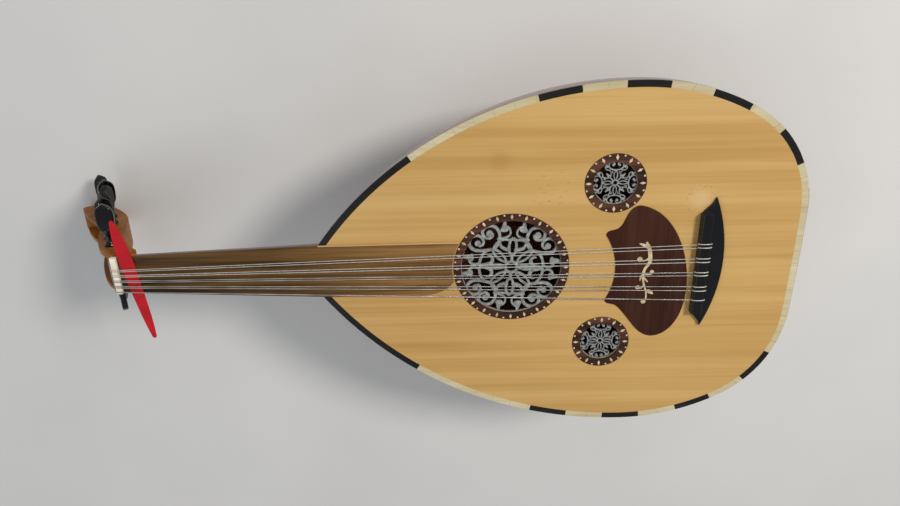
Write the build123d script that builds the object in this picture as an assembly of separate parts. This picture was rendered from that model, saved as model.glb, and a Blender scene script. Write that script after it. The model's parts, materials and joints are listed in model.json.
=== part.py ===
from build123d import *
import math
import os

# Oud, modelled in millimetres around the centre of the main sound hole:
# +X to the tail, +Y to the treble side, +Z out of the soundboard, Z = 0 at the soundboard's face.
# The last step moves everything so that the origin is under the middle of the whole instrument.

# Body outline: the visible edge of the soundboard, as tangent arcs from the tail to the neck.
TAIL_X = 282.0
OUTLINE_RADII = [2450.0, 113.4, 219.2, 377.8]
OUTLINE_HEADINGS = [1.3, 62.3, 89.1, 143.7]
BINDING_WIDTH = 6.5
BOARD = 2.0
RIB = 2.6
RIBS = 13
PURFLING_ANGLE = 0.3
BINDING_JOINTS = [25.5, 44.9, 63.4, 73.3, 83.7, 92.0, 98.1, 104.2, 124.3]

# Neck, fingerboard and nut.
NECK_END_X = -401.0
NECK_END_RADIUS = 19.8
FINGERBOARD = 1.6
TONGUE_HALF = 29.6
NUT_X = -403.5
NUT_LENGTH = 6.5
NUT_TOP = 5.0

# Rosettes: outer and inner radius of each ring, and where it sits.
MAIN_OUTER = 58.5
MAIN_INNER = 50.8
SMALL_OUTER = 29.8
SMALL_INNER = 21.4
SMALL_X = {"treble": 99.0, "bass": 95.4}
SMALL_Y = 87.4
RING_DEPTH = 1.2
RING_PROUD = 0.3
LATTICE = 2.2
MAIN_TURN = -3.5

# Bridge.
BRIDGE_X = 184.5
BRIDGE_WIDTH = 10.5
BRIDGE_HALF = 54.0
BRIDGE_HEIGHT = 9.0
BRIDGE_Y = 2.0
HOLE_Z = 6.0
HOLE_RADIUS = 0.85
HOLE_Y = [40.0, 36.2, 24.7, 20.9, 9.3, 5.4, -5.8, -9.3, -21.8, -26.3, -37.0]
NUT_Y = [13.2, 11.6, 6.9, 5.3, 1.1, -0.5, -4.8, -6.4, -11.1, -12.7, -17.6]
STRING_RADII = [0.34, 0.34, 0.34, 0.34, 0.38, 0.38, 0.42, 0.42, 0.48, 0.48, 0.6]
MISSING = 2
TIE_RADIUS = 0.5

# Pegbox: the line of the peg holes down the middle of each cheek.
PEG_LINE = [(-401, -8), (-414, -26), (-424, -45), (-434, -66), (-443, -88), (-451, -110), (-461, -131),
            (-474, -150), (-487, -166)]
BACK_LINE = [(-386, -19.6), (-401, -36), (-412, -55), (-421, -74), (-429, -94), (-436, -115), (-445, -135),
             (-457, -152), (-472, -168)]
FRONT_LINE = [(-403.5, -2), (-414, -10), (-438, -46), (-449, -71), (-459, -96), (-469, -110), (-482, -124),
              (-497, -142), (-512, -166)]
HEAD_TIP = [(-516, -177), (-508, -183.6), (-496, -184.4), (-484, -179)]
CHEEK = 4.4
HEAD_HALF_TOP = 20.0
HEAD_NARROWING = 0.045
PEG_PITCH = 27.5
TREBLE_FIRST = 31.0
BASS_FIRST = 44.5
PEG_RADIUS = 3.6
PEG_CLEARANCE = 0.05
PEG_TURNS = [15, 60, -35, 85, 40, 78, 62, 80, -45, 30, 110]

# Plectrum.
PLECTRUM_ENDS = [(-393.6, 57.0), (-374.6, -70.2)]
PLECTRUM_Z = 2.1
PLECTRUM_THICKNESS = 1.0
PLECTRUM_WIDTHS = [4.6, 10.0, 14.6, 13.6, 10.6, 7.2, 4.6]


def arc_chain(offset):
    """Body half outline moved outward by offset, as (centre, radius, start and end heading)."""
    point = Vector(TAIL_X, 0)
    heading = 0.0
    arcs = []
    for radius, end in zip(OUTLINE_RADII, OUTLINE_HEADINGS):
        normal = Vector(math.cos(math.radians(heading)), math.sin(math.radians(heading)))
        centre = point - normal * radius
        end_normal = Vector(math.cos(math.radians(end)), math.sin(math.radians(end)))
        point = centre + end_normal * radius
        arcs.append((centre, radius + offset, heading, end))
        heading = end
    return arcs


def on_circle(centre, radius, heading):
    angle = math.radians(heading)
    return (centre.X + radius * math.cos(angle), centre.Y + radius * math.sin(angle))


def outline_edges(offset, start=0.0, end=OUTLINE_HEADINGS[-1]):
    """Arcs of the half outline between two headings, in order from the tail."""
    edges = []
    for centre, radius, first, last in arc_chain(offset):
        low = max(first, start)
        high = min(last, end)
        if high - low < 1e-6:
            continue
        middle = (low + high) / 2
        ends = [on_circle(centre, radius, heading) for heading in (low, middle, high)]
        edges.append(ThreePointArc(*ends))
    return edges


def half_face(offset):
    """Half of the body's plan, on the treble side of the centre line."""
    edges = outline_edges(offset)
    last = edges[-1] @ 1
    first = edges[0] @ 0
    corner = (last.X, 0)
    return make_face(Wire(edges + [Line(last, corner), Line(corner, first)]))


def band_face(inner, outer, start=0.0, end=OUTLINE_HEADINGS[-1]):
    """Strip between two offsets of the half outline."""
    near = outline_edges(inner, start, end)
    far = outline_edges(outer, start, end)
    sides = [Line(near[0] @ 0, far[0] @ 0), Line(near[-1] @ 1, far[-1] @ 1)]
    return make_face(Wire(near + far + sides))


def full_prism(offset, low, high):
    """The whole body's plan between two heights."""
    half = extrude(half_face(offset), high - low)
    half = Pos(0, 0, low) * half
    return half + mirror(half, Plane.XZ)


def below(height):
    """Everything under a height, as a large block."""
    return Pos(0, 0, height - 300) * Box(1600, 800, 600)


def bowl_solid(offset):
    """The bowl filled in, to a given offset of the outline."""
    turned = revolve(half_face(offset), Axis.X, 180)
    if turned.bounding_box().center().Z > 0:
        turned = mirror(turned, Plane.XY)
    return turned


def sector(face, start, angle):
    """Part of a turn of a face about X, from the treble edge round under the bowl."""
    placed = Rot(-start, 0, 0) * face
    return revolve(placed, Axis((0, 0, 0), (-1, 0, 0)), angle)


def stroke(points, widths):
    """Curved ribbon through points, with its width at each point and rounded ends."""
    line = Spline(*points)
    left = []
    right = []
    for index, width in enumerate(widths):
        place = line.param_at_point(points[index])
        spot = line @ place
        tangent = line % place
        side = Vector(-tangent.Y, tangent.X) * (width / 2)
        left.append(spot + side)
        right.append(spot - side)
    edges = [Spline(*left), Line(left[-1], right[-1]), Spline(*right), Line(right[0], left[0])]
    face = make_face(Wire(edges))
    face += Pos(*points[0]) * Circle(widths[0] / 2)
    face += Pos(*points[-1]) * Circle(widths[-1] / 2)
    return face


def quartered(face):
    """A quadrant's pattern repeated about both axes."""
    half = face + mirror(face, Plane.YZ)
    return half + mirror(half, Plane.XZ)


def annulus(outer, inner):
    return Circle(outer) - Circle(inner)


def main_lattice():
    """Carved scrolls of the main rosette, one quadrant mirrored about both axes."""
    strokes = [
        ([(17, 20.5), (14, 28), (14.3, 36), (18, 42), (24, 43.8), (29.8, 41), (31.2, 35.5), (27.5, 30.8),
          (22.5, 31), (20.8, 35)], [2.8, 3, 3, 3, 3.2, 3.2, 3, 2.8, 2.6, 2.4]),
        ([(20, 18.5), (30, 16.6), (40, 18), (44, 24), (41.8, 30.5), (36, 32.8), (31, 30), (29.6, 25),
          (33, 21.6)], [2.8, 3, 3.2, 3.2, 3.2, 3, 2.8, 2.6, 2.4]),
        ([(5, 5.2), (9.5, 13), (19, 19)], [2.2, 2.2, 2.4]),
        ([(5, 5.2), (14.5, 9.5), (20, 18)], [2.2, 2.2, 2.4]),
        ([(19, 19), (15.5, 26), (9, 29.8), (2, 29.6), (-1, 31.5)], [2.6, 2.6, 2.6, 2.4, 2]),
        ([(15.2, 30), (8, 31.8), (3.6, 35.5), (4, 40.5), (8, 43.5)], [2.4, 2.2, 2, 2, 2.6]),
        ([(9.5, 51.5), (9.8, 46.5), (9.6, 41)], [1.8, 3.4, 6.4]),
        ([(-0.5, 11.5), (3.4, 18), (3.6, 24), (2.6, 30)], [2.2, 2.6, 2.6, 2.4]),
        ([(3.4, 19), (8, 19.6), (11.4, 21.8), (12.3, 26)], [3.4, 3.2, 3, 1.2]),
        ([(0, 6.5), (0, 13)], [2.6, 3]),
        ([(31.8, -1), (31.6, 7), (28.5, 14), (21, 18.4)], [2.6, 2.6, 2.6, 2.6]),
        ([(31, 1), (24, 2), (19.8, 5), (20, 9.8), (24.5, 11.4)], [2.4, 3.4, 3.6, 3, 1.2]),
        ([(6.5, 0), (14, 1), (22, 1), (31, 0)], [2.6, 4.4, 3.2, 2.8]),
        ([(32, 7), (33.6, 2.4), (38.5, 1.4), (42.5, 5.5)], [2.2, 2.2, 2.2, 2.6]),
        ([(51.5, 9.2), (46.5, 9), (41.5, 8.6)], [1.8, 3.4, 6.2]),
    ]
    discs = [((24.2, 35.4), 3.3), ((35.1, 24.3), 3.1), ((7.6, 40.4), 1.9), ((11.8, 39.8), 1.9),
             ((40.6, 6.4), 1.8), ((40.4, 10.8), 1.8)]
    quadrant = stroke(*strokes[0])
    for item in strokes[1:]:
        quadrant += stroke(*item)
    for centre, radius in discs:
        quadrant += Pos(*centre) * Circle(radius)
    pattern = quartered(quadrant) + annulus(7.4, 4.6) + annulus(MAIN_INNER + 3, MAIN_INNER - 0.6)
    return Rot(0, 0, MAIN_TURN) * pattern


def small_lattice():
    """Carved scrolls of a small rosette: an eighth, mirrored and turned four times."""
    strokes = [
        ([(0, 2.8), (1.5, 6), (1.5, 9.2), (-0.1, 12.4)], [0.9, 0.9, 0.9, 0.9]),
        ([(-0.3, 12.8), (3.8, 13.3), (6.9, 16), (6.6, 19.4), (3.6, 20.6), (1.5, 18.6)],
         [1.2, 1.2, 1.3, 1.3, 1.2, 1.1]),
        ([(5, 13.7), (8, 12.6), (10.2, 14.2), (9.8, 16.6)], [0.9, 0.9, 0.9, 1.1]),
        ([(9.9, 18.9), (9.3, 17.4), (8.6, 16.2)], [0.8, 2, 2.6]),
        ([(2, 2), (5.4, 5)], [0.9, 0.9]),
        ([(5.4, 5), (4.6, 8), (5, 11), (7.2, 12.8)], [1.2, 1, 0.9, 0.9]),
        ([(4.8, 7), (7, 7.4), (8.8, 9)], [1, 1.7, 0.8]),
        ([(4.9, 10.4), (3.4, 10.8), (3, 9.2)], [0.9, 1.2, 0.7]),
    ]
    eighth = stroke(*strokes[0])
    for item in strokes[1:]:
        eighth += stroke(*item)
    eighth += Pos(2.9, 17.8) * Circle(1.35)
    quarter = eighth + mirror(eighth, Plane.YZ)
    pattern = annulus(3.3, 2.1) + annulus(SMALL_INNER + 2.4, SMALL_INNER - 0.4)
    for turn in range(4):
        pattern += Rot(0, 0, 90 * turn) * quarter
    return pattern


def rosette_inlay_faces(outer, inner, count):
    """Diamonds round the middle of a ring, and dots between them at its outer edge."""
    width = outer - inner
    diamond = make_face(Polyline((0, -0.37 * width), (1.4, 0), (0, 0.37 * width), (-1.4, 0), close=True))
    step = 360 / count
    diamonds = [Rot(0, 0, step * i) * Pos(0, inner + 0.55 * width) * diamond for i in range(count)]
    dots = [Rot(0, 0, step * (i + 0.5)) * Pos(0, outer - 1.5) * Circle(0.95) for i in range(count)]
    return diamonds + dots


def rosette(outer, inner, count, lattice, x, y):
    """Ring, its inlay and the carved lattice glued under the soundboard."""
    place = Pos(x, y, 0)
    faces = rosette_inlay_faces(outer, inner, count)
    inlay = [Pos(0, 0, -0.5) * extrude(face, 0.5 + RING_PROUD + 0.05) for face in faces]
    ring = Pos(0, 0, -RING_DEPTH) * extrude(annulus(outer, inner), RING_DEPTH + RING_PROUD)
    ring = ring - inlay
    carved = Pos(0, 0, -BOARD - LATTICE) * extrude(lattice, LATTICE)
    return place * ring, [place * piece for piece in inlay], place * carved


def rosette_hollow(outer, inner, x, y):
    """What a rosette takes out of the soundboard."""
    hole = Pos(x, y, -BOARD) * extrude(Circle(inner), BOARD)
    channel = Pos(x, y, -RING_DEPTH) * extrude(annulus(outer, inner - 1), RING_DEPTH)
    return hole + channel


nodes = {}

# Bowl: ribs with a thin purfling between each pair, cut level under the binding.
shell = band_face(BINDING_WIDTH - RIB, BINDING_WIDTH)
rib_angle = (180 - PURFLING_ANGLE * (RIBS - 1)) / RIBS
purfling = []
under_binding = below(-BOARD)
for number in range(RIBS):
    start = number * (rib_angle + PURFLING_ANGLE)
    rib = sector(shell, start, rib_angle)
    nodes[f"rib_{number + 1:02d}"] = rib & under_binding
    if number < RIBS - 1:
        purfling.append(sector(shell, start + rib_angle, PURFLING_ANGLE) & under_binding)
nodes["rib_purfling"] = purfling

# Inside of the bowl: blocks at both ends, lining under the soundboard's edge, cross braces.
inside = bowl_solid(BINDING_WIDTH - RIB) & below(-BOARD)
joint_x = (outline_edges(BINDING_WIDTH)[-1] @ 1).X
joint_radius = (outline_edges(BINDING_WIDTH)[-1] @ 1).Y
dowel = Pos(joint_x, 0, -13) * Rot(0, 90, 0) * Cylinder(6, 70)
neck_block = inside & (Pos(joint_x + 20, 0, -60) * Box(44, 120, 120))
nodes["neck_block"] = neck_block - dowel
tail_block = inside & (Pos(TAIL_X - 8, 0, -27) * Box(34, 90, 50))
nodes["tail_block"] = tail_block
lining = full_prism(BINDING_WIDTH - RIB, -9, -BOARD) - full_prism(-4, -10, 0)
lining = (lining & inside) - (Pos(joint_x + 12, 0, -60) * Box(60, 120, 120))
lining = lining - (Pos(TAIL_X - 8, 0, -27) * Box(44, 91, 60))
nodes["edge_lining"] = lining
brace_field = full_prism(-4.5, -16, -BOARD) & inside
brace_x = [-110, -66, 61, 133, 190, 238]
braces = [brace_field & (Pos(x, 0, -9) * Box(5, 500, 14)) for x in brace_x]
nodes["soundboard_braces"] = braces

# Tail clasp: a thin apron over the rib ends.
clasp_shell = bowl_solid(BINDING_WIDTH + 1.2) - bowl_solid(BINDING_WIDTH)
clasp_line = Spline((-78, -BOARD), (-40, -26), (0, -34), (40, -26), (78, -BOARD))
clasp_plan = Plane.YZ * make_face(Wire([clasp_line, Line((78, -BOARD), (-78, -BOARD))]))
clasp = clasp_shell & (Pos(TAIL_X - 40, 0, 0) * extrude(clasp_plan, 80))
nodes["tail_clasp"] = clasp

# Soundboard in two halves, cut for the rosettes.
board = full_prism(0, -BOARD, 0)
board = board - rosette_hollow(MAIN_OUTER, MAIN_INNER, 0, 0)
for name, side in (("treble", 1), ("bass", -1)):
    board = board - rosette_hollow(SMALL_OUTER, SMALL_INNER, SMALL_X[name], side * SMALL_Y)
half_space = Pos(0, 300, 0) * Box(1600, 600, 50)
nodes["soundboard_treble"] = board & half_space
nodes["soundboard_bass"] = board & mirror(half_space, Plane.XZ)

# Binding: cream and black lengths by turns, cream across the tail.
headings = [0.0] + BINDING_JOINTS + [OUTLINE_HEADINGS[-1]]
lengths = {"binding_cream": [], "binding_black": []}
for number, (start, end) in enumerate(zip(headings, headings[1:])):
    piece = Pos(0, 0, -BOARD) * extrude(band_face(0, BINDING_WIDTH, start, end), BOARD)
    colour = "binding_cream" if number % 2 == 0 else "binding_black"
    if number == 0:
        lengths[colour].append(piece + mirror(piece, Plane.XZ))
    else:
        lengths[colour] += [piece, mirror(piece, Plane.XZ)]
nodes.update(lengths)

# Rosettes.
main = rosette(MAIN_OUTER, MAIN_INNER, 24, main_lattice(), 0, 0)
nodes["main_rosette_ring"], nodes["main_rosette_inlay"], nodes["main_rosette_lattice"] = main
small_pattern = small_lattice()
for name, side in (("treble", 1), ("bass", -1)):
    parts = rosette(SMALL_OUTER, SMALL_INNER, 12, small_pattern, SMALL_X[name], side * SMALL_Y)
    nodes[f"{name}_rosette_ring"] = parts[0]
    nodes[f"{name}_rosette_inlay"] = parts[1]
    nodes[f"{name}_rosette_lattice"] = parts[2]

# Pickguard: a crescent with two wings, set slightly askew, and its inlaid vine.
guard_edges = [
    ThreePointArc((96.5, -37.5), (105.1, -3), (93.6, 34)),
    Spline((93.6, 34), (94.6, 37), (103.5, 40.3), (110.2, 47.8), (115.6, 59.2), (120, 63.2), (126.5, 64.4)),
    Spline((126.5, 64.4), (148.6, 53.3), (162, 37), (171.7, 16), (177.9, -9.6), (178.3, -39), (171.8, -62.8),
           (158, -78), (146.5, -80.6)),
    Spline((146.5, -80.6), (138.5, -77.7), (124.7, -63.6), (111.9, -47.5), (105.8, -42.8), (98.5, -40.8),
           (96.5, -37.5)),
]
guard = extrude(make_face(Wire(guard_edges)), 0.8)
vine_strokes = [
    ([(134.5, 25.5), (137.5, 19), (139, 11), (139, 4), (135.5, -2), (133.6, -10), (135.2, -20), (138, -29),
      (138.4, -37)], [2, 3.6, 4, 3.6, 2.8, 2.6, 1.9, 1.6, 1.5]),
    ([(127.5, 24.5), (131, 23.2), (136, 20)], [0.9, 2.8, 2.6]),
    ([(129.5, 6.5), (133, 5.8), (137.5, 8)], [1.8, 1.7, 2]),
    ([(142.3, -8.4), (139, -9.6), (134.5, -8.5)], [1.8, 1.4, 1.6]),
    ([(130.8, -16), (131.6, -12.6), (133.6, -9)], [1, 2, 1.8]),
    ([(138.8, -17.6), (136.4, -15), (134.2, -12)], [1, 1.8, 1.6]),
    ([(130, -24.6), (133, -24.4), (135, -20.5)], [1.6, 1.3, 1.3]),
    ([(137.6, -27.6), (141.4, -28.6), (145.2, -31.4)], [1.3, 4, 1]),
]
vine_buds = [((128.9, 7.5), 2.7), ((142.2, -6.6), 2.1), ((129.2, -23.8), 2.2), ((136.2, -40), 2.5)]
vine = stroke(*vine_strokes[0])
for item in vine_strokes[1:]:
    vine += stroke(*item)
for centre, radius in vine_buds:
    vine += Pos(*centre) * Circle(radius)
vine += stroke([(138.4, -37), (137.6, -38.6), (136.2, -40)], [1.5, 1.6, 1.8])
vine_solid = Pos(0, 0, 0.3) * extrude(vine, 0.55)
nodes["pickguard"] = guard - vine_solid
nodes["pickguard_inlay"] = vine_solid

# Neck, with a dowel into the body, cut on a slant where the pegbox is let in.
neck_length = joint_x - NECK_END_X
cone = Cone(joint_radius, NECK_END_RADIUS, neck_length)
cone = Pos((joint_x + NECK_END_X) / 2, 0, 0) * Rot(0, -90, 0) * cone
cone = cone & below(0)
neck_side = Plane.XZ * make_face(Polyline((-150, 5), (-377, 5), (-385.5, -30), (-150, -30), close=True))
neck_region = extrude(neck_side, 40, both=True)
root_side = Plane.XZ * make_face(Polyline((-377, 5), (-404, 5), (-404, -1.5), (-385.5, -19.9),
                                          (-383, -20.5), close=True))
root_region = extrude(root_side, 40, both=True)
nodes["neck"] = (cone & neck_region) - dowel
nodes["neck_dowel"] = dowel
nodes["pegbox_root"] = (cone & root_region) - neck_region

# Fingerboard with its tongue on the soundboard, and the pale strip on the tongue's treble edge.
tongue_radius = MAIN_OUTER + 1.2
tongue_end_x = -math.sqrt(tongue_radius ** 2 - TONGUE_HALF ** 2)
corner_x = -math.sqrt(tongue_radius ** 2 - 13.4 ** 2)
start_x = NUT_X + NUT_LENGTH
start_half = NECK_END_RADIUS + 0.2
board_edges = [
    Line((start_x, -start_half), (start_x, start_half)),
    Line((start_x, start_half), (joint_x, joint_radius)),
    Line((joint_x, joint_radius), (tongue_end_x, TONGUE_HALF)),
    ThreePointArc((tongue_end_x, TONGUE_HALF), (-math.sqrt(tongue_radius ** 2 - 64), 8), (corner_x, -13.4)),
    Spline((corner_x, -13.4), (-64.4, -20.5), (-77.6, -26.9), (-93, -28.7)),
    Line((-93, -28.7), (joint_x, -joint_radius)),
    Line((joint_x, -joint_radius), (start_x, -start_half)),
]
fingerboard = extrude(make_face(Wire(board_edges)), FINGERBOARD)
strip = extrude(make_face(Polyline((joint_x, joint_radius), (tongue_end_x + 3, TONGUE_HALF + 0.1),
                                   (tongue_end_x + 3, TONGUE_HALF - 1.1), (joint_x, joint_radius - 1.1),
                                   close=True)), FINGERBOARD)
nodes["fingerboard_edging"] = strip & fingerboard
nodes["fingerboard"] = fingerboard - strip


def string_line(number):
    """Where a string leaves the bridge and where it crosses the nut's front edge."""
    bridge_end = Vector(BRIDGE_X + BRIDGE_WIDTH + 0.8, HOLE_Y[number], HOLE_Z)
    nut_end = Vector(NUT_X + NUT_LENGTH, NUT_Y[number], NUT_TOP)
    return bridge_end, nut_end


# Nut: a bone bar with a groove for each string.
nut = Pos(NUT_X + NUT_LENGTH / 2, 0, NUT_TOP / 2) * Box(NUT_LENGTH, 2 * NECK_END_RADIUS, NUT_TOP)
nut = fillet(nut.edges().filter_by(Axis.Y).group_by(Axis.Z)[-1], 1.2)
for number, y in enumerate(NUT_Y):
    bridge_end, nut_end = string_line(number)
    direction = (nut_end - bridge_end).normalized()
    groove_line = Plane(origin=nut_end - direction * 3, z_dir=direction)
    nut = nut - groove_line * Cylinder(STRING_RADII[number] + 0.04, 40)
nodes["nut"] = nut

# Bridge: tie bar on a crescent base with pointed wings, drilled for the strings.
bar = Pos(BRIDGE_X + BRIDGE_WIDTH / 2, BRIDGE_Y, BRIDGE_HEIGHT / 2)
bar = bar * Box(BRIDGE_WIDTH, 2 * BRIDGE_HALF, BRIDGE_HEIGHT)
bar = fillet(bar.edges().filter_by(Axis.Y).group_by(Axis.Z)[-1], 1.6)
tip = 70.0
base_edges = [
    ThreePointArc((197.6, tip), (211.5, 0), (196.0, -tip)),
    Spline((196.0, -tip), (192.4, -62), (187.5, -56), (186, -50)),
    Line((186, -50), (186, 50)),
    Spline((186, 50), (187.5, 56), (192.8, 62), (197.6, tip)),
]
base = extrude(make_face(Wire([Pos(0, BRIDGE_Y) * edge for edge in base_edges])), 3.2)
bridge = base + bar
for y in HOLE_Y:
    bridge = bridge - Pos(BRIDGE_X + BRIDGE_WIDTH / 2, y, HOLE_Z) * Rot(0, 90, 0) * Cylinder(HOLE_RADIUS, 40)
nodes["bridge"] = bridge

# Pegbox: two cheeks, a back between them, an end block, all narrowing towards the tip.


def head_outline():
    edges = [
        Spline(*BACK_LINE),
        Spline(BACK_LINE[-1], (-478, -174), HEAD_TIP[3]),
        Spline(HEAD_TIP[3], HEAD_TIP[2], HEAD_TIP[1], HEAD_TIP[0], FRONT_LINE[-1]),
        Spline(*FRONT_LINE),
        Line(FRONT_LINE[0], BACK_LINE[0]),
    ]
    return make_face(Wire(edges))


def head_slab(low, high):
    """Slab across the pegbox between two depths, measured inward from its outer face."""
    corners = []
    for y_in, z in ((low, 10), (high, 10), (high, -200), (low, -200)):
        corners.append((HEAD_HALF_TOP + HEAD_NARROWING * z - y_in, z))
    return Pos(-600, 0, 0) * extrude(Plane.YZ * make_face(Polyline(*corners, close=True)), 300)


head_profile = extrude(Plane.XZ * head_outline(), 30, both=True)
cheek = head_profile & head_slab(0, CHEEK)
inner_top = HEAD_HALF_TOP + HEAD_NARROWING * 10 - CHEEK
inner_end = HEAD_HALF_TOP - HEAD_NARROWING * 200 - CHEEK
inner_shape = Polyline((inner_top, 10), (inner_end, -200), (-inner_end, -200), (-inner_top, 10), close=True)
middle = Pos(-600, 0, 0) * extrude(Plane.YZ * make_face(inner_shape), 300)
core = head_profile & middle
back_inner = [(x - 4.6, z + 1.8) for x, z in BACK_LINE]
back_face = make_face(Wire([Spline(*BACK_LINE), Line(BACK_LINE[-1], back_inner[-1]), Spline(*back_inner),
                            Line(back_inner[0], BACK_LINE[0])]))
back_region = extrude(Plane.XZ * back_face, 30, both=True)
end_face = make_face(Polyline((-470, -169.5), (-478, -160), (-512, -158), (-530, -200), (-470, -200),
                              close=True))
end_region = extrude(Plane.XZ * end_face, 30, both=True)
end_block = core & end_region
nodes["pegbox_end"] = end_block
nodes["pegbox_back"] = (core & back_region) - end_region

# Pegs: a straight shaft through both cheeks, a collar, a waist and a flat rounded head.
peg_curve = Spline(*PEG_LINE)
peg_line_length = peg_curve.length


def peg_centre(distance):
    spot = peg_curve @ (distance / peg_line_length)
    return spot.X, spot.Y


def peg(half_width, turn):
    """Peg along +Y, its cheek's outer face at half_width."""
    start = -half_width - 2.5
    neck = half_width + 0.4
    profile = [
        Polyline((0, start), (PEG_RADIUS - 0.6, start), (PEG_RADIUS, start + 0.8), (PEG_RADIUS, neck),
                 (5.6, neck), (6.2, neck + 1.2), (5.6, neck + 2.6), (4.2, neck + 3.6)),
        Spline((4.2, neck + 3.6), (3.4, neck + 7), (3.6, neck + 11), (4.6, neck + 15), (4.4, neck + 19)),
        Polyline((4.4, neck + 19), (0, neck + 22), (0, start)),
    ]
    outline = Wire([edge for part in profile for edge in part.edges()])
    turned = revolve(make_face(outline), Axis.Y, 360)
    foot = neck + 13
    top = foot + 33
    half = [(0, foot), (4.2, foot + 2.2), (8, foot + 8.5), (8.9, foot + 15), (6.6, top - 4.5),
            (2.4, top - 1.5), (0, top)]
    blade_face = make_face(Wire([Spline(*half), Line(half[-1], half[0])]))
    blade_face = blade_face + mirror(blade_face, Plane.YZ)
    head = extrude(blade_face, 3.1, both=True)
    head = fillet(head.edges().filter_by(lambda edge: abs(edge.center().Z) > 3), 1.5)
    return Rot(0, turn, 0) * (turned + head)


holes = []
stations = [(1, TREBLE_FIRST + PEG_PITCH * i) for i in range(6)]
stations += [(-1, BASS_FIRST + PEG_PITCH * i) for i in range(5)]
for number, (side, distance) in enumerate(stations):
    x, z = peg_centre(distance)
    half_width = HEAD_HALF_TOP + HEAD_NARROWING * z
    solid = peg(half_width, PEG_TURNS[number])
    if side < 0:
        solid = Rot(0, 0, 180) * solid
    nodes[f"peg_{number + 1:02d}"] = Pos(x, 0, z) * solid
    hole = Pos(x, 0, z) * Rot(90, 0, 0) * Cylinder(PEG_RADIUS + PEG_CLEARANCE, 80)
    holes.append(hole)
bass_cheek = mirror(cheek, Plane.XZ) - holes
cheek = cheek - holes
nodes["pegbox_cheek_treble"] = cheek

# Strings: taut from the bridge over the nut and down to the front of a peg; the first two are missing.
PEG_OF_STRING = {2: 0, 3: 6, 4: 1, 5: 7, 6: 2, 7: 8, 8: 3, 9: 9, 10: 4}
FRONT_GAP = 6.0
NUT_BEND = 1.6
GUIDES = [31.0, 58.5, 86.0, 113.5]


def front_of_line(distance):
    """Point a little in front of the pegs, where strings pass, as X and Z."""
    x, z = peg_centre(distance)
    tangent = peg_curve % (distance / peg_line_length)
    return x + tangent.Y * FRONT_GAP, z - tangent.X * FRONT_GAP


def rod(start, end, radius):
    """Round bar between two points."""
    plane = Plane(origin=(start + end) * 0.5, z_dir=(end - start).normalized())
    return plane * Cylinder(radius, (end - start).length)


def taut_string(points, radius):
    """Straight from the bridge to the nut, a small round bend, then down past the pegs in one smooth line."""
    corner = points[1]
    first = (corner - points[0]).normalized()
    second = (points[2] - corner).normalized()
    bend_start = corner - first * NUT_BEND
    bend_end = corner + second * NUT_BEND
    edges = [Line(points[0], bend_start), TangentArc(bend_start, bend_end, tangent=first)]
    if len(points) == 3:
        edges.append(Line(bend_end, points[2]))
    else:
        last = (points[-1] - points[-2]).normalized()
        edges.append(Spline(bend_end, *points[2:], tangents=[second, last]))
    section = Plane(origin=points[0], z_dir=first) * Circle(radius)
    return sweep(section, path=Wire(edges))


plain = []
wound = []
ties = []
for number in range(MISSING, len(HOLE_Y)):
    radius = STRING_RADII[number]
    bridge_end, nut_end = string_line(number)
    direction = (nut_end - bridge_end).normalized()
    over = nut_end + direction * (NUT_LENGTH - 0.2)
    last = stations[PEG_OF_STRING[number]][1]
    stops = [distance for distance in GUIDES if distance < last - 10] + [last]
    route = [bridge_end, over]
    for step, distance in enumerate(stops):
        x, z = front_of_line(distance)
        route.append(Vector(x, NUT_Y[number] * (0.72 - 0.085 * step), z))
    (plain if number < 6 else wound).append(taut_string(route, radius))
    y = HOLE_Y[number]
    back = BRIDGE_X + BRIDGE_WIDTH
    crest = BRIDGE_HEIGHT + 0.62
    loop = Spline((back + 1.1, y + 0.9, HOLE_Z), (back + 1.1, y + 1.3, HOLE_Z + 2.4),
                  (back - 2.2, y + 1.4, crest), (BRIDGE_X + 2.2, y + 1.4, crest),
                  (BRIDGE_X - 1.1, y + 1.3, HOLE_Z + 2.2), (BRIDGE_X - 1.1, y + 1.2, HOLE_Z + 0.3))
    ties.append(sweep(Plane(origin=loop @ 0, z_dir=loop % 0) * Circle(TIE_RADIUS), path=loop))
relief_x, relief_z = front_of_line(GUIDES[0])
relief = rod(Vector(NUT_X, NUT_Y[-1], NUT_TOP), Vector(relief_x, NUT_Y[-1] * 0.72, relief_z), 1.2)
nodes["pegbox_cheek_bass"] = bass_cheek - relief
nodes["strings_plain"] = plain
nodes["strings_wound"] = wound
nodes["string_ties"] = ties

# Plectrum: a long flat leaf tucked under the strings in front of the nut.
(first_x, first_y), (last_x, last_y) = PLECTRUM_ENDS
plectrum_length = math.hypot(last_x - first_x, last_y - first_y)
along = [-0.5, -0.4, -0.22, 0.0, 0.25, 0.42, 0.5]
leaf = stroke([(fraction * plectrum_length, 0) for fraction in along], PLECTRUM_WIDTHS)
leaf = extrude(leaf, PLECTRUM_THICKNESS)
leaf = fillet(leaf.edges().filter_by(lambda edge: abs(edge.center().Z - PLECTRUM_THICKNESS / 2) > 0.4), 0.35)
angle = math.degrees(math.atan2(last_y - first_y, last_x - first_x))
middle_spot = ((first_x + last_x) / 2, (first_y + last_y) / 2, PLECTRUM_Z)
nodes["plectrum"] = Pos(*middle_spot) * Rot(0, 0, angle) * leaf


def solids_of(item):
    if isinstance(item, (list, tuple)):
        return [solid for piece in item for solid in solids_of(piece)]
    return list(item.solids())


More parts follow.
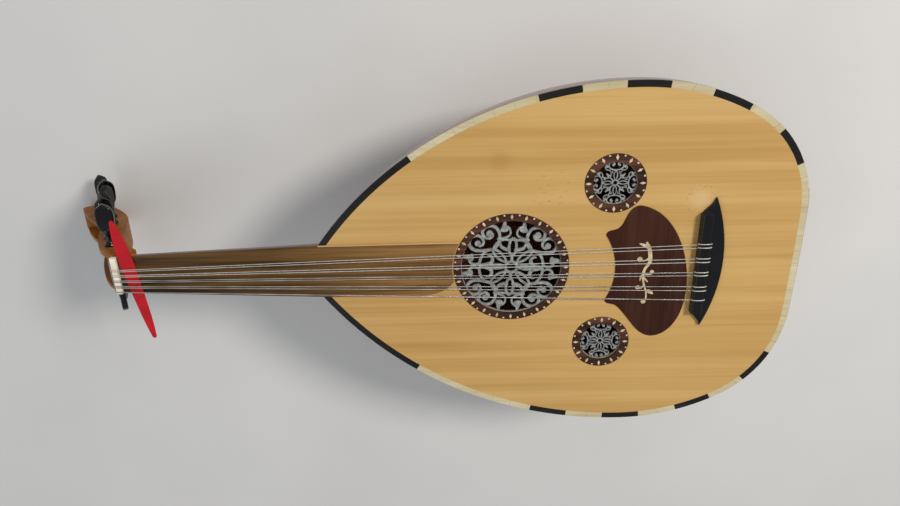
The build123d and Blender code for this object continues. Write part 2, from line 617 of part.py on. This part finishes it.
# Move the origin under the middle of the instrument and write one file for each node.
everything = Compound(children=[Compound(children=solids_of(item)) for item in nodes.values()])
box = everything.bounding_box()
origin = Pos(-box.center().X, -box.center().Y, -box.min.Z)
print("origin shift", -box.center().X, -box.center().Y, -box.min.Z, "size", box.size)
os.makedirs("parts", exist_ok=True)
for name, item in nodes.items():
    pieces = [origin * solid for solid in solids_of(item)]
    shape = pieces[0] if len(pieces) == 1 else Compound(children=pieces)
    export_step(shape, f"parts/{name}.step")
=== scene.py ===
import json
import math

import bpy
from mathutils import Matrix, Vector


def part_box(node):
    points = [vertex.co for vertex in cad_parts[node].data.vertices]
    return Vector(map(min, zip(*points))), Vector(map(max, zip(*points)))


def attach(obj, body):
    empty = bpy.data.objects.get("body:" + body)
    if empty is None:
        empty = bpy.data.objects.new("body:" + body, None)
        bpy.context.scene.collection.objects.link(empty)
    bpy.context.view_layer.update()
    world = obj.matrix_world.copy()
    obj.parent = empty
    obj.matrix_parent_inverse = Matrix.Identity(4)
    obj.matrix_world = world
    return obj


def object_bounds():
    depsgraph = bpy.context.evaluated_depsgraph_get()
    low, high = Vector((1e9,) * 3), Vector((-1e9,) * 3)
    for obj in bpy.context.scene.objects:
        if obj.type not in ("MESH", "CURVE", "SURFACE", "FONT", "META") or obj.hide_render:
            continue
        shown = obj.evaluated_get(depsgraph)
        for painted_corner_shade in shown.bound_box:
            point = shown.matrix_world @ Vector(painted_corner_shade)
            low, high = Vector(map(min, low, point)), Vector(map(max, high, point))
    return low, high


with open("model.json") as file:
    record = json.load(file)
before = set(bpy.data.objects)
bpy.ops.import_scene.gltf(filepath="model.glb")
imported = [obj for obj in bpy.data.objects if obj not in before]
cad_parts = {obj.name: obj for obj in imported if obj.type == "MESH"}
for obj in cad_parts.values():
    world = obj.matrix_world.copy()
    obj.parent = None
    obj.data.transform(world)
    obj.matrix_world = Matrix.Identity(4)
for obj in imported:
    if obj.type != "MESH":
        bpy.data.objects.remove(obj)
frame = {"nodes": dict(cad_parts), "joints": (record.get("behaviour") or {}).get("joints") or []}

# Row frame, metres: +X to the tail, +Y to the treble side, +Z out of the soundboard.
cad_low, cad_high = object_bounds()
nodes = frame["nodes"]
ring_low, ring_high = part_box("main_rosette_ring")
board_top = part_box("soundboard_treble")[1].z
ROSETTE = Vector(((ring_low.x + ring_high.x) / 2, (ring_low.y + ring_high.y) / 2, board_top))
binding_low, binding_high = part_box("binding_black")
BODY_MIDDLE = (binding_low + binding_high) / 2

# Windings on the pegs: each peg's number, and where along Y its string winds on it.
PEG_RADIUS = 0.0036
PEGS_WITH_PLAIN = {1: 0.0050, 7: 0.0034, 2: 0.0007, 8: -0.0003}
PEGS_WITH_WOUND = {3: -0.0026, 9: -0.0030, 4: -0.0052, 10: -0.0048, 5: -0.0067}
WINDING_TURNS = 7
POINTS_PER_TURN = 12
PLAIN_WINDING_RADIUS = 0.00035
WOUND_WINDING_RADIUS = 0.00045

FLOOR_REACH = 6.0


def linear(red, green, blue):
    """Linear colour from 0-255 screen values."""
    return tuple((value / 255) ** 2.2 for value in (red, green, blue)) + (1.0,)


class Shader:
    """Small helper that builds one material's node tree."""

    def __init__(self, name, roughness=0.4):
        self.material = bpy.data.materials.new(name)
        self.material.use_nodes = True
        self.tree = self.material.node_tree
        self.surface = self.tree.nodes["Principled BSDF"]
        self.surface.inputs["Roughness"].default_value = roughness
        self.place = self.add("ShaderNodeTexCoord").outputs["Object"]

    def add(self, kind, **settings):
        node = self.tree.nodes.new(kind)
        for key, value in settings.items():
            setattr(node, key, value)
        return node

    def join(self, source, target):
        self.tree.links.new(source, target)

    def mapped(self, rotation=(0, 0, 0), location=(0, 0, 0)):
        node = self.add("ShaderNodeMapping")
        node.inputs["Rotation"].default_value = rotation
        node.inputs["Location"].default_value = location
        self.join(self.place, node.inputs["Vector"])
        return node.outputs["Vector"]

    def noise(self, scale, stretch=(1, 1, 1), rotation=(0, 0, 0), detail=4, distortion=0.0):
        node = self.add("ShaderNodeTexNoise")
        node.inputs["Scale"].default_value = scale
        node.inputs["Detail"].default_value = detail
        node.inputs["Distortion"].default_value = distortion
        turned = self.mapped(rotation=rotation)
        stretched = self.add("ShaderNodeMapping")
        stretched.inputs["Scale"].default_value = stretch
        self.join(turned, stretched.inputs["Vector"])
        self.join(stretched.outputs["Vector"], node.inputs["Vector"])
        return node.outputs["Fac"]

    def ramp(self, value, stops):
        node = self.add("ShaderNodeValToRGB")
        elements = node.color_ramp.elements
        while len(elements) < len(stops):
            elements.new(0.5)
        for element, (position, colour) in zip(elements, stops):
            element.position = position
            element.color = colour if len(colour) == 4 else (*colour, 1)
        self.join(value, node.inputs["Fac"])
        return node.outputs["Color"]

    def level(self, value, low, high, out_low=0.0, out_high=1.0):
        node = self.add("ShaderNodeMapRange")
        node.inputs["From Min"].default_value = low
        node.inputs["From Max"].default_value = high
        node.inputs["To Min"].default_value = out_low
        node.inputs["To Max"].default_value = out_high
        self.join(value, node.inputs["Value"])
        return node.outputs["Result"]

    def maths(self, operation, first, second):
        node = self.add("ShaderNodeMath", operation=operation)
        for socket, value in zip(node.inputs, (first, second)):
            if isinstance(value, (int, float)):
                socket.default_value = value
            else:
                self.join(value, socket)
        return node.outputs["Value"]

    def mix(self, factor, first, second, blend="MIX"):
        node = self.add("ShaderNodeMix", data_type="RGBA", blend_type=blend)
        for socket, value in ((node.inputs[0], factor), (node.inputs[6], first), (node.inputs[7], second)):
            if hasattr(value, "is_linked"):
                self.join(value, socket)
            else:
                socket.default_value = value
        return node.outputs[2]

    def near(self, point, radius):
        """1 at a point in the row frame, falling smoothly to 0 at the radius."""
        node = self.add("ShaderNodeVectorMath", operation="DISTANCE")
        self.join(self.place, node.inputs[0])
        node.inputs[1].default_value = point
        spot = self.add("ShaderNodeMapRange", interpolation_type="SMOOTHSTEP")
        spot.inputs["From Min"].default_value = radius
        spot.inputs["From Max"].default_value = 0.0
        self.join(node.outputs["Value"], spot.inputs["Value"])
        return spot.outputs["Result"]

    def colour(self, socket):
        self.join(socket, self.surface.inputs["Base Color"])

    def rough(self, value, low, high):
        self.join(self.level(value, 0, 1, low, high), self.surface.inputs["Roughness"])

    def bump(self, value, distance, strength=0.5):
        node = self.add("ShaderNodeBump")
        node.inputs["Distance"].default_value = distance
        node.inputs["Strength"].default_value = strength
        self.join(value, node.inputs["Height"])
        self.join(node.outputs["Normal"], self.surface.inputs["Normal"])

    def coat(self, weight, roughness=0.15):
        self.surface.inputs["Coat Weight"].default_value = weight
        self.surface.inputs["Coat Roughness"].default_value = roughness


def wood(name, dark, middle, light, figure=24, fibre=420, turn=(0, 0, 0), rough=(0.35, 0.55), coat=0.0,
         bump=0.00012, joints=0, specular=0.5):
    """Straight-grained wood: broad figure, fine fibres along the row's X after a turn, and, for the
    binding, thin dark joints across it all round the body."""
    shader = Shader(name)
    broad = shader.noise(figure, (0.12, 1, 1), turn, detail=5, distortion=0.4)
    fine = shader.noise(fibre, (0.02, 1, 1), turn, detail=3)
    cloud = shader.noise(9, (0.6, 1, 1), turn, detail=3)
    blend = shader.maths("ADD", shader.maths("MULTIPLY", broad, 0.55), shader.maths("MULTIPLY", fine, 0.3))
    blend = shader.maths("ADD", blend, shader.maths("MULTIPLY", cloud, 0.15))
    colour = shader.ramp(blend, [(0.36, dark), (0.5, middle), (0.64, light)])
    if joints:
        around = shader.add("ShaderNodeTexGradient", gradient_type="RADIAL")
        shader.join(shader.mapped(location=(-BODY_MIDDLE.x, 0, 0)), around.inputs["Vector"])
        step = shader.maths("FRACT", shader.maths("MULTIPLY", around.outputs["Fac"], joints), 0)
        line = shader.level(step, 0.985, 0.992)
        colour = shader.mix(shader.maths("MULTIPLY", line, 0.7), colour, linear(96, 74, 46))
    shader.colour(colour)
    shader.rough(fine, *rough)
    shader.surface.inputs["Specular IOR Level"].default_value = specular
    shader.bump(fine, bump, 0.35)
    if coat:
        shader.coat(coat)
    return shader.material


def soundboard():
    """Straight fine-grained softwood under thin varnish, with a few marks and a worn spot by the bridge."""
    shader = Shader("soundboard_wood")
    lines = shader.noise(420, (0.01, 1, 0.2), detail=2, distortion=0.2)
    bands = shader.noise(60, (0.03, 1, 0.2), detail=3, distortion=0.3)
    tone = shader.noise(6, (0.5, 1, 1), detail=3)
    grain = shader.maths("ADD", shader.maths("MULTIPLY", lines, 0.3), shader.maths("MULTIPLY", bands, 0.7))
    base = shader.ramp(grain, [(0.34, linear(186, 146, 84)), (0.5, linear(197, 158, 96)),
                               (0.66, linear(205, 168, 107))])
    shade = shader.ramp(tone, [(0.35, linear(240, 232, 220)), (0.65, linear(255, 254, 250))])
    base = shader.mix(0.8, base, shade, "MULTIPLY")
    streak = shader.noise(190, (0.02, 1, 0.2), detail=1)
    base = shader.mix(shader.level(streak, 0.64, 0.74, 0, 0.3), base, linear(168, 126, 68))
    bridge_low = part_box("bridge")[0]
    worn_point = Vector((bridge_low.x - 0.002, 0.07, board_top))
    worn = shader.near(worn_point, 0.019)
    mottle = shader.noise(260, detail=4)
    base = shader.mix(shader.maths("MULTIPLY", worn, 0.7), base, linear(206, 176, 122))
    rim = shader.maths("MULTIPLY", shader.level(worn, 0.02, 0.2), shader.level(worn, 0.6, 0.3))
    base = shader.mix(shader.maths("MULTIPLY", rim, shader.level(mottle, 0.52, 0.66, 0, 0.5)), base,
                      linear(150, 108, 58))
    played = shader.near(Vector((ROSETTE.x + 0.038, 0.08, board_top)), 0.035)
    speck = shader.level(shader.noise(330, (0.5, 1, 1), detail=2), 0.64, 0.7)
    base = shader.mix(shader.maths("MULTIPLY", shader.maths("MULTIPLY", played, speck), 0.7), base,
                      linear(140, 100, 52))
    knot = shader.near(Vector((ROSETTE.x - 0.012, 0.112, board_top)), 0.016)
    base = shader.mix(shader.maths("MULTIPLY", knot, 0.3), base, linear(158, 114, 58))
    shader.colour(base)
    shader.rough(grain, 0.4, 0.5)
    shader.surface.inputs["Specular IOR Level"].default_value = 0.35
    shader.bump(grain, 0.0001, 0.25)
    shader.coat(0.12, 0.35)
    return shader.material


def fingerboard():
    """Olive-brown hardwood with dark streaks, darkened by playing toward the nut."""
    shader = Shader("fingerboard_wood")
    broad = shader.noise(120, (0.04, 1, 1), detail=4, distortion=0.5)
    fine = shader.noise(460, (0.02, 1, 1), detail=3)
    blend = shader.maths("ADD", shader.maths("MULTIPLY", broad, 0.7), shader.maths("MULTIPLY", fine, 0.3))
    fresh = shader.ramp(blend, [(0.36, linear(84, 58, 32)), (0.5, linear(124, 90, 50)),
                                (0.64, linear(146, 110, 66))])
    used = shader.ramp(blend, [(0.38, linear(40, 27, 14)), (0.5, linear(80, 57, 30)),
                               (0.64, linear(106, 78, 43))])
    along = shader.add("ShaderNodeSeparateXYZ")
    shader.join(shader.place, along.inputs["Vector"])
    worn = shader.level(along.outputs["X"], ROSETTE.x - 0.1, ROSETTE.x - 0.24)
    shader.colour(shader.mix(worn, fresh, used))
    shader.rough(fine, 0.42, 0.58)
    shader.surface.inputs["Specular IOR Level"].default_value = 0.15
    shader.bump(fine, 0.00012, 0.35)
    return shader.material


def inlay():
    """Cream inlay, a little uneven and yellowed."""
    shader = Shader("cream_inlay", 0.35)
    patch = shader.noise(160, detail=4)
    shader.colour(shader.ramp(patch, [(0.35, linear(178, 154, 112)), (0.6, linear(214, 194, 156))]))
    shader.bump(patch, 0.0001, 0.2)
    shader.coat(0.2)
    return shader.material


def carved():
    """Greyish white carved lattice, with painted shade darkening its colour in the corners and crevices."""
    shader = Shader("carved_lattice", 0.6)
    patch = shader.noise(240, detail=5)
    base = shader.ramp(patch, [(0.3, linear(104, 106, 104)), (0.55, linear(140, 142, 139)),
                               (0.72, linear(170, 172, 168))])
    # Painted shade: an ambient-occlusion mask darkens the colour towards dark grey in the corners.
    painted_corner_shade = shader.add("ShaderNodeAmbientOcclusion", samples=8, only_local=True)
    painted_corner_shade.inputs["Distance"].default_value = 0.0016
    shader.colour(shader.mix(shader.level(painted_corner_shade.outputs["AO"], 0.55, 0.95), linear(58, 56, 52), base))
    soft = shader.add("ShaderNodeBevel", samples=6)
    soft.inputs["Radius"].default_value = 0.0007
    bump = shader.add("ShaderNodeBump")
    bump.inputs["Distance"].default_value = 0.0002
    bump.inputs["Strength"].default_value = 0.4
    shader.join(patch, bump.inputs["Height"])
    shader.join(soft.outputs["Normal"], bump.inputs["Normal"])
    shader.join(bump.outputs["Normal"], shader.surface.inputs["Normal"])
    return shader.material


def bone():
    shader = Shader("bone", 0.35)
    patch = shader.noise(120, (0.3, 1, 1), detail=5)
    shader.colour(shader.ramp(patch, [(0.35, linear(206, 194, 164)), (0.6, linear(236, 229, 208))]))
    shader.bump(patch, 0.0001, 0.2)
    return shader.material


def black_gloss(name, tint, rough=0.14):
    """Black stained hardwood with a polish worn by handling."""
    shader = Shader(name)
    wear = shader.noise(70, detail=6)
    shader.colour(shader.ramp(wear, [(0.42, linear(4, 4, 4)), (0.66, tint)]))
    shader.rough(wear, rough, rough + 0.16)
    shader.surface.inputs["Specular IOR Level"].default_value = 0.3
    shader.bump(shader.noise(600, (0.1, 1, 1), detail=2), 0.00005, 0.2)
    shader.coat(0.15, 0.1)
    return shader.material


def nylon():
    shader = Shader("string_nylon", 0.28)
    patch = shader.noise(300, detail=2)
    shader.colour(shader.ramp(patch, [(0.3, linear(176, 170, 158)), (0.7, linear(214, 210, 202))]))
    shader.surface.inputs["Transmission Weight"].default_value = 0.15
    shader.surface.inputs["Specular IOR Level"].default_value = 0.6
    return shader.material


def wire_wound():
    """Silvered wire wound finely round a silk core."""
    shader = Shader("string_wire", 0.34)
    wave = shader.add("ShaderNodeTexWave", wave_type="BANDS", bands_direction="X")
    wave.inputs["Scale"].default_value = 900
    shader.join(shader.place, wave.inputs["Vector"])
    patch = shader.noise(40, detail=4)
    shader.colour(shader.ramp(patch, [(0.35, linear(138, 132, 124)), (0.65, linear(190, 186, 180))]))
    shader.surface.inputs["Metallic"].default_value = 0.75
    shader.bump(wave.outputs["Fac"], 0.0001, 0.5)
    return shader.material


def red_plastic():
    """Thin red plastic that lets a little light through."""
    shader = Shader("plectrum_red", 0.2)
    patch = shader.noise(50, detail=3)
    shader.colour(shader.ramp(patch, [(0.35, linear(172, 6, 22)), (0.65, linear(196, 10, 32))]))
    shader.rough(patch, 0.3, 0.42)
    shader.surface.inputs["Transmission Weight"].default_value = 0.08
    shader.surface.inputs["Specular IOR Level"].default_value = 0.12
    shader.bump(shader.noise(260, (0.2, 1, 1), detail=2), 0.00005, 0.3)
    return shader.material


def paint(material, *names):
    """Give carried-over nodes a material; their shape is left alone."""
    for name in names:
        mesh = nodes[name].data
        mesh.materials.clear()
        mesh.materials.append(material)


PEGBOX_TURN = (0, math.radians(-64), 0)
rib_wood = wood("rib_wood", linear(74, 32, 18), linear(112, 54, 30), linear(146, 78, 44), 20, 380, coat=0.6,
                rough=(0.25, 0.4))
rib_pale = wood("rib_wood_pale", linear(112, 62, 32), linear(150, 92, 50), linear(182, 122, 72), 20, 380,
                coat=0.6, rough=(0.25, 0.4))
ribs = sorted(name for name in nodes if name.startswith("rib_0") or name.startswith("rib_1"))
for number, name in enumerate(ribs):
    paint(rib_wood if number % 2 == 0 else rib_pale, name)
paint(rib_wood, "tail_clasp")
paint(wood("purfling_wood", linear(170, 140, 92), linear(196, 168, 116), linear(214, 190, 142), coat=0.5),
      "rib_purfling")
paint(soundboard(), "soundboard_treble", "soundboard_bass")
paint(wood("inner_wood", linear(140, 106, 64), linear(176, 140, 92), linear(198, 164, 116)), "neck_block",
      "tail_block", "edge_lining", "soundboard_braces", "neck_dowel")
paint(wood("ebony_edge", linear(10, 9, 9), linear(20, 17, 16), linear(34, 28, 25), 40, 420, coat=0.15,
           specular=0.3, rough=(0.25, 0.4)), "binding_black")
paint(wood("cream_edge", linear(174, 160, 122), linear(190, 177, 140), linear(204, 193, 158), 30, 420,
           coat=0.15, specular=0.3, joints=52), "binding_cream")
paint(wood("edging_wood", linear(176, 140, 88), linear(200, 166, 110), linear(216, 186, 134)),
      "fingerboard_edging")
ring_wood = wood("ring_wood", linear(32, 21, 16), linear(64, 41, 32), linear(104, 66, 51), 80, 380,
                 specular=0.2)
cream = inlay()
lattice = carved()
for name in ("main", "treble", "bass"):
    paint(ring_wood, f"{name}_rosette_ring")
    paint(cream, f"{name}_rosette_inlay")
    paint(lattice, f"{name}_rosette_lattice")
paint(cream, "pickguard_inlay")
paint(wood("guard_wood", linear(44, 24, 16), linear(57, 33, 23), linear(69, 43, 32), 36, 420,
           (0, 0, math.radians(90)), rough=(0.42, 0.55), specular=0.15), "pickguard")
paint(black_gloss("bridge_black", linear(12, 12, 13), 0.2), "bridge")
paint(wood("neck_wood", linear(48, 20, 12), linear(80, 38, 22), linear(108, 56, 34), 26, 420, coat=0.5,
           rough=(0.28, 0.42)), "neck")
paint(fingerboard(), "fingerboard")
paint(bone(), "nut")
pegbox_wood = wood("pegbox_wood", linear(104, 58, 20), linear(150, 90, 36), linear(180, 116, 54), 30, 380,
                   PEGBOX_TURN, rough=(0.35, 0.5), specular=0.1)
paint(pegbox_wood, "pegbox_root", "pegbox_end", "pegbox_back", "pegbox_cheek_treble", "pegbox_cheek_bass")
peg_black = black_gloss("peg_black", linear(24, 22, 24), 0.12)
paint(peg_black, *[name for name in nodes if name.startswith("peg_")])
string_plain = nylon()
string_wire = wire_wound()
paint(string_plain, "strings_plain", "string_ties")
paint(string_wire, "strings_wound")
paint(red_plastic(), "plectrum")

joint_place = {joint["name"]: Vector(joint["pos_m"]) for joint in frame["joints"] if "pos_m" in joint}


def winding(number, y, radius, material):
    """Turns of string round a peg's shaft, as one helix that turns with the peg."""
    centre = joint_place[f"peg_{number:02d}_turn"]
    curve = bpy.data.curves.new(f"winding_{number:02d}", "CURVE")
    curve.dimensions = "3D"
    curve.bevel_depth = radius
    curve.bevel_resolution = 2
    curve.use_fill_caps = True
    spline = curve.splines.new("NURBS")
    count = WINDING_TURNS * POINTS_PER_TURN
    spline.points.add(count)
    coil = PEG_RADIUS + radius * 0.9
    for index in range(count + 1):
        angle = 2 * math.pi * index / POINTS_PER_TURN
        along = y + (index / count - 0.5) * WINDING_TURNS * radius * 2.05
        spot = centre + Vector((coil * math.cos(angle), along, coil * math.sin(angle)))
        spline.points[index].co = (*spot, 1)
    spline.order_u = 3
    spline.use_endpoint_u = True
    piece = bpy.data.objects.new(f"winding_{number:02d}", curve)
    bpy.context.scene.collection.objects.link(piece)
    curve.materials.append(material)
    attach(piece, f"tuning_peg_{number:02d}")


for number, y in PEGS_WITH_PLAIN.items():
    winding(number, y, PLAIN_WINDING_RADIUS, string_plain)
for number, y in PEGS_WITH_WOUND.items():
    winding(number, y, WOUND_WINDING_RADIUS, string_wire)

# Floor, light and camera.
floor_mesh = bpy.data.meshes.new("floor")
floor_corners = [(FLOOR_REACH * x, FLOOR_REACH * y, 0) for x, y in ((-1, -1), (1, -1), (1, 1), (-1, 1))]
floor_mesh.from_pydata(floor_corners, [], [(0, 1, 2, 3)])
floor = bpy.data.objects.new("floor", floor_mesh)
floor.location.z = cad_low[2]
bpy.context.scene.collection.objects.link(floor)
floor_shader = Shader("floor_pale", 0.8)
floor_shader.colour(floor_shader.ramp(floor_shader.noise(3), [(0.3, linear(204, 202, 198)),
                                                              (0.7, linear(212, 210, 206))]))
floor_mesh.materials.append(floor_shader.material)

world = bpy.data.worlds.new("studio")
world.use_nodes = True
world.node_tree.nodes["Background"].inputs["Color"].default_value = (0.9, 0.94, 1.0, 1)
world.node_tree.nodes["Background"].inputs["Strength"].default_value = 0.45
bpy.context.scene.world = world


def area_light(name, place, size, energy, colour):
    data = bpy.data.lights.new(name, "AREA")
    data.shape = "DISK"
    data.size = size
    data.energy = energy
    data.color = colour
    lamp = bpy.data.objects.new(name, data)
    lamp.location = place
    lamp.rotation_euler = (ROSETTE - lamp.location).to_track_quat("-Z", "Y").to_euler()
    bpy.context.scene.collection.objects.link(lamp)


area_light("key", ROSETTE + Vector((1.25, 0.95, 1.6)), 0.5, 36, (1.0, 0.965, 0.92))
area_light("fill", ROSETTE + Vector((-1.4, -0.6, 1.6)), 1.6, 8, (0.92, 0.96, 1.0))

camera_data = bpy.data.cameras.new("camera")
camera_data.lens = 28.0
camera_data.sensor_width = 36.0
camera = bpy.data.objects.new("camera", camera_data)
right = Vector((0.99979, -0.02036, -0.00325))
up = Vector((0.01742, 0.91831, -0.39549))
toward = right.cross(up)
turn = Matrix((right, up, toward)).transposed().to_4x4()
camera.matrix_world = Matrix.Translation(ROSETTE + Vector((-0.05386, 0.29503, 0.64436))) @ turn
bpy.context.scene.collection.objects.link(camera)
bpy.context.scene.camera = camera
bpy.context.scene.view_settings.view_transform = "Standard"

bpy.context.view_layer.update()
